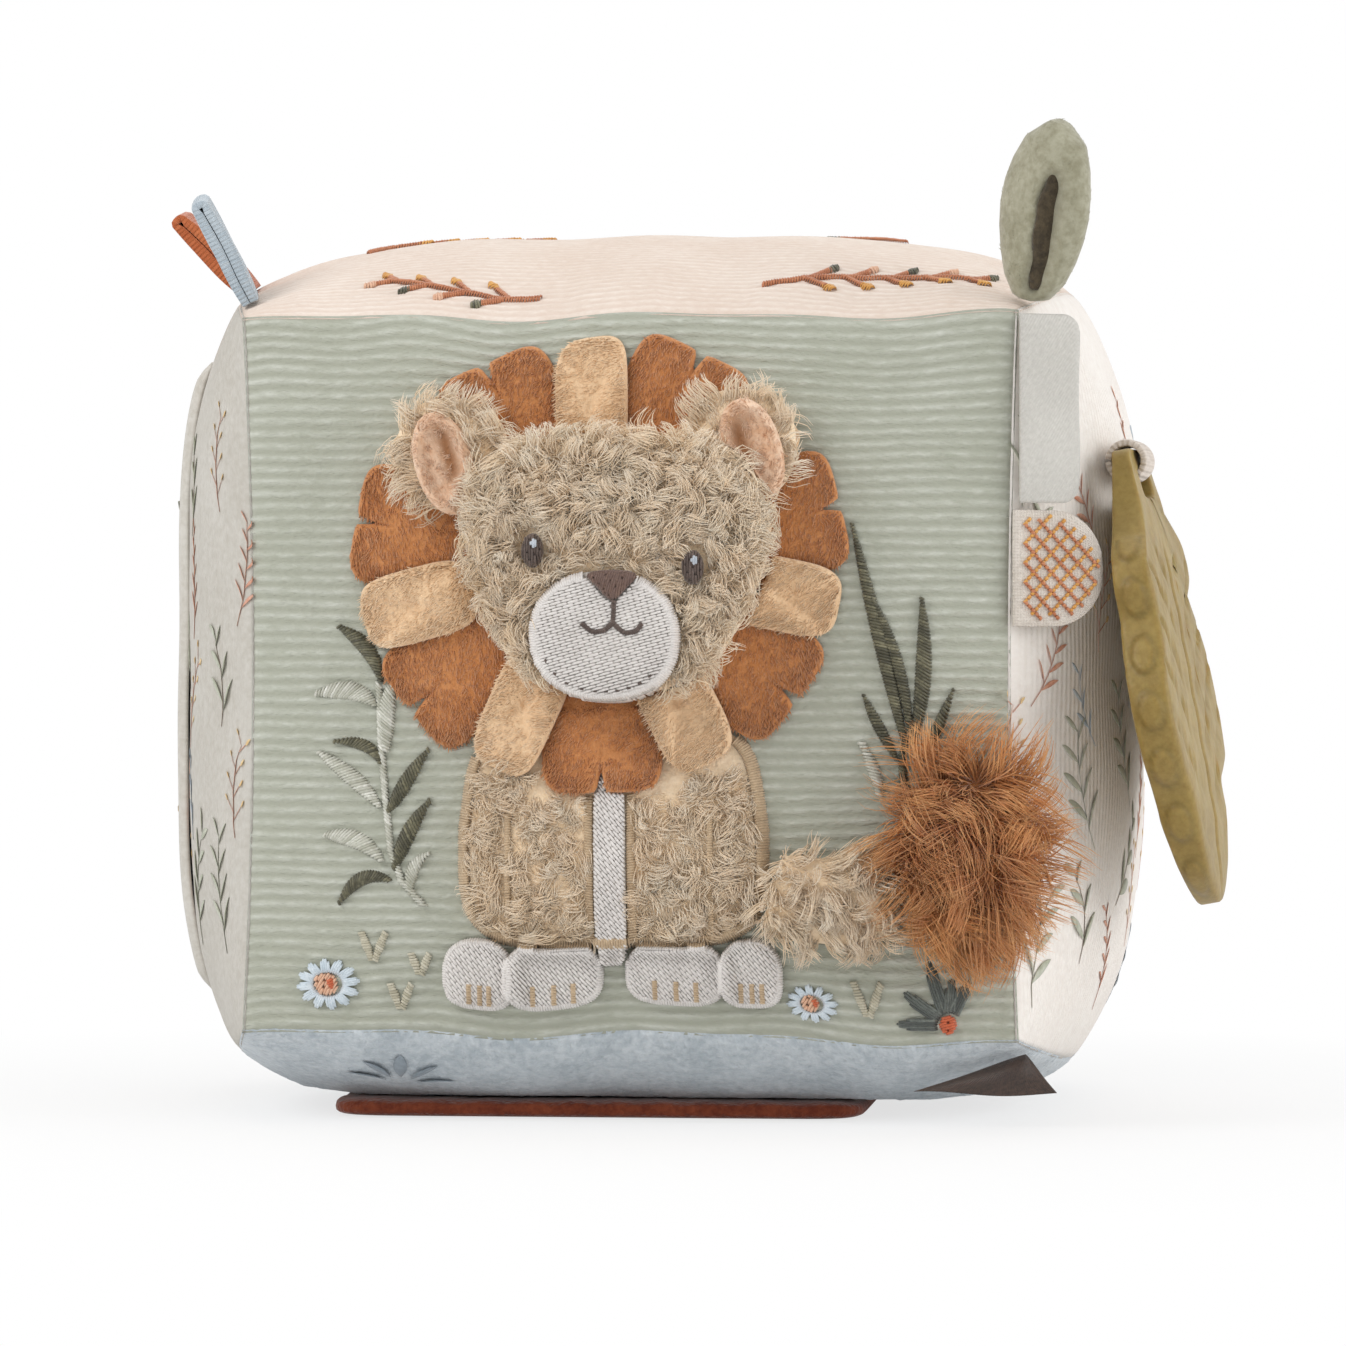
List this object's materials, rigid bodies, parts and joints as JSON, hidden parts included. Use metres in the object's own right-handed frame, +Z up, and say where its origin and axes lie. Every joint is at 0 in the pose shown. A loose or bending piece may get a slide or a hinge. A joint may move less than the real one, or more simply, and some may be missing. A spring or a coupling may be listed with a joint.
{
  "type": "soft fabric block",
  "caption": "Soft sewn activity block with an applique lion, seam tags and ribbon loops, a peek flap, a hanging teether and a mirror underneath.",
  "frame": {"origin": "on the floor under the middle of the block, on the mirror's flat face", "axes": "-Y is the way the lion faces, +X its viewer's right, +Z up"},
  "size_m": [0.1812, 0.1503, 0.1618],
  "materials": {
    "sage_corduroy": "fine-wale cotton corduroy",
    "sage_velour": "short-pile velour",
    "left_print_cotton": "printed cotton",
    "right_print_cotton": "printed cotton",
    "blush_rib": "fine-rib cotton with embroidery",
    "blue_plush": "short plush",
    "foam": "open-cell foam",
    "beige_fur": "curly plush",
    "caramel_fur": "long plush",
    "dark_mane_velour": "short-pile velour",
    "light_mane_velour": "short-pile velour",
    "peach_velour": "short-pile velour",
    "white_thread": "filled embroidery",
    "brown_thread": "satin-stitch embroidery",
    "leaf_velour": "short-pile velour",
    "olive_lining": "short-pile velour",
    "blue_ribbon": "grosgrain ribbon",
    "rust_ribbon": "grosgrain ribbon",
    "white_satin": "satin ribbon",
    "woven_cotton_tag": "woven ribbon",
    "brown_satin": "satin ribbon",
    "rust_velour": "short-pile velour",
    "olive_silicone": "matt food-grade silicone",
    "cotton_webbing": "woven cotton tape",
    "mirror_film": "safety mirror film on board",
    "rattle_plastic": "moulded",
    "bead_plastic": "moulded",
    "crinkle_film": "crackling film",
    "flap_cloth": "brushed cotton"
  },
  "bodies": {
    "block": {"front_panel": "sage_corduroy", "back_panel": "sage_velour", "left_panel": "left_print_cotton", "right_panel": "right_print_cotton", "top_panel": "blush_rib", "bottom_panel": "blue_plush", "foam_core_front": "foam", "foam_core_back": "foam", "rattle_shell_lower": "rattle_plastic", "rattle_shell_upper": "rattle_plastic", "lion_body": "beige_fur", "paw_rear_left": "white_thread", "paw_front_left": "white_thread", "paw_front_right": "white_thread", "paw_rear_right": "white_thread", "chest_stripe": "white_thread", "lion_head": "beige_fur", "muzzle": "white_thread", "nose": "brown_thread", "eye_left": "brown_thread", "eye_right": "brown_thread", "mirror_frame": "rust_velour", "mirror_plate": "mirror_film", "teether_strap": "cotton_webbing", "mane_dark_1": "dark_mane_velour", "mane_light_1": "light_mane_velour", "mane_dark_2": "dark_mane_velour", "mane_dark_3": "dark_mane_velour", "mane_dark_4": "dark_mane_velour", "mane_dark_5": "dark_mane_velour", "mane_dark_6": "dark_mane_velour", "mane_light_6": "light_mane_velour", "mane_dark_7": "dark_mane_velour"},
    "rattle_bead_a": {"rattle_bead_1": "bead_plastic"},
    "rattle_bead_b": {"rattle_bead_2": "bead_plastic"},
    "rattle_bead_c": {"rattle_bead_3": "bead_plastic"},
    "tail": {"tail": "beige_fur", "tail_tuft": "caramel_fur"},
    "ear_left": {"ear_left": "beige_fur", "ear_lining_left": "peach_velour"},
    "ear_right": {"ear_right": "beige_fur", "ear_lining_right": "peach_velour"},
    "leaf": {"leaf_outer": "leaf_velour", "leaf_lining": "olive_lining"},
    "ribbon_blue": {"ribbon_blue": "blue_ribbon"},
    "ribbon_rust": {"ribbon_rust": "rust_ribbon"},
    "label": {"label_blank": "white_satin"},
    "woven_tag": {"woven_tag": "woven_cotton_tag"},
    "brown_loop": {"brown_loop": "brown_satin"},
    "flap": {"flap_back": "flap_cloth", "flap_crinkle_film": "crinkle_film", "flap_front": "flap_cloth"},
    "teether": {"teether": "olive_silicone"},
    "mane_tab_right": {"mane_light_2": "light_mane_velour"},
    "mane_tab_lower_right": {"mane_light_3": "light_mane_velour"},
    "mane_tab_lower_left": {"mane_light_4": "light_mane_velour"},
    "mane_tab_left": {"mane_light_5": "light_mane_velour"},
    "mane_tab_top": {"mane_light_7": "light_mane_velour"}
  },
  "joints": [
    {"name": "teether_swing", "type": "hinge", "parent": "block", "child": "teether", "pos_m": [0.07992, -0.0315, 0.10763], "axis": [-0.1305, -0.9914, 0], "range_deg": [0, 75]},
    {"name": "flap_open", "type": "hinge", "parent": "block", "child": "flap", "pos_m": [-0.0629, 0.058, 0.0725], "axis": [0, 0, -1], "range_deg": [0, 100], "stiffness_Nm_per_rad": 0.004},
    {"name": "tail_lift", "type": "hinge", "parent": "block", "child": "tail", "pos_m": [0.02234, -0.06742, 0.03716], "axis": [0, 0, -1], "range_deg": [0, 55], "stiffness_Nm_per_rad": 0.01},
    {"name": "ear_left_bend", "type": "hinge", "parent": "block", "child": "ear_left", "pos_m": [-0.02332, -0.07, 0.10471], "axis": [0.5538, 0, 0.8327], "range_deg": [0, 30], "stiffness_Nm_per_rad": 0.006},
    {"name": "ear_right_bend", "type": "hinge", "parent": "block", "child": "ear_right", "pos_m": [0.01465, -0.07014, 0.10623], "axis": [0.6853, 0, -0.7283], "range_deg": [0, 30], "stiffness_Nm_per_rad": 0.006},
    {"name": "mane_tab_right_lift", "type": "hinge", "parent": "block", "child": "mane_tab_right", "pos_m": [0.02031, -0.06757, 0.08617], "axis": [-0.168, 0, -0.9858], "range_deg": [0, 40], "stiffness_Nm_per_rad": 0.004},
    {"name": "mane_tab_lower_right_lift", "type": "hinge", "parent": "block", "child": "mane_tab_lower_right", "pos_m": [0.00756, -0.06932, 0.07037], "axis": [-0.8578, 0, -0.5139], "range_deg": [0, 40], "stiffness_Nm_per_rad": 0.004},
    {"name": "mane_tab_lower_left_lift", "type": "hinge", "parent": "block", "child": "mane_tab_lower_left", "pos_m": [-0.01382, -0.06915, 0.07113], "axis": [-0.889, 0, 0.458], "range_deg": [0, 40], "stiffness_Nm_per_rad": 0.004},
    {"name": "mane_tab_left_lift", "type": "hinge", "parent": "block", "child": "mane_tab_left", "pos_m": [-0.02507, -0.06731, 0.08573], "axis": [-0.2199, 0, 0.9755], "range_deg": [0, 40], "stiffness_Nm_per_rad": 0.004},
    {"name": "mane_tab_top_lift", "type": "hinge", "parent": "block", "child": "mane_tab_top", "pos_m": [-0.00489, -0.06548, 0.11191], "axis": [0.9994, 0, 0.034], "range_deg": [0, 40], "stiffness_Nm_per_rad": 0.004},
    {"name": "leaf_bend", "type": "hinge", "parent": "block", "child": "leaf", "pos_m": [0.06496, -0.052, 0.132], "axis": [0, 1, 0], "range_deg": [-20, 25], "stiffness_Nm_per_rad": 0.02},
    {"name": "label_bend", "type": "hinge", "parent": "block", "child": "label", "pos_m": [0.0633, -0.0586, 0.1152], "axis": [0, 0, 1], "range_deg": [-70, 5], "stiffness_Nm_per_rad": 0.004},
    {"name": "woven_tag_bend", "type": "hinge", "parent": "block", "child": "woven_tag", "pos_m": [0.0624, -0.0581, 0.0897], "axis": [0, 0, 1], "range_deg": [-70, 5], "stiffness_Nm_per_rad": 0.004},
    {"name": "ribbon_blue_bend", "type": "hinge", "parent": "block", "child": "ribbon_blue", "pos_m": [-0.0654, -0.044, 0.133], "axis": [0, 1, 0], "range_deg": [-20, 20], "stiffness_Nm_per_rad": 0.008},
    {"name": "ribbon_rust_bend", "type": "hinge", "parent": "block", "child": "ribbon_rust", "pos_m": [-0.0683, -0.027, 0.1354], "axis": [0, 1, 0], "range_deg": [-20, 20], "stiffness_Nm_per_rad": 0.008},
    {"name": "brown_loop_bend", "type": "hinge", "parent": "block", "child": "brown_loop", "pos_m": [0.0634, -0.0538, 0.0124], "axis": [-1, 0, 0], "range_deg": [0, 50], "stiffness_Nm_per_rad": 0.006},
    {"name": "rattle_bead_a_slide", "type": "slide", "parent": "block", "child": "rattle_bead_a", "axis": [0, 0, 1], "range_m": [0, 0.0125]},
    {"name": "rattle_bead_b_slide", "type": "slide", "parent": "block", "child": "rattle_bead_b", "axis": [0, 0, 1], "range_m": [0, 0.0165]},
    {"name": "rattle_bead_c_slide", "type": "slide", "parent": "block", "child": "rattle_bead_c", "axis": [0, 0, 1], "range_m": [0, 0.0125]}
  ]
}
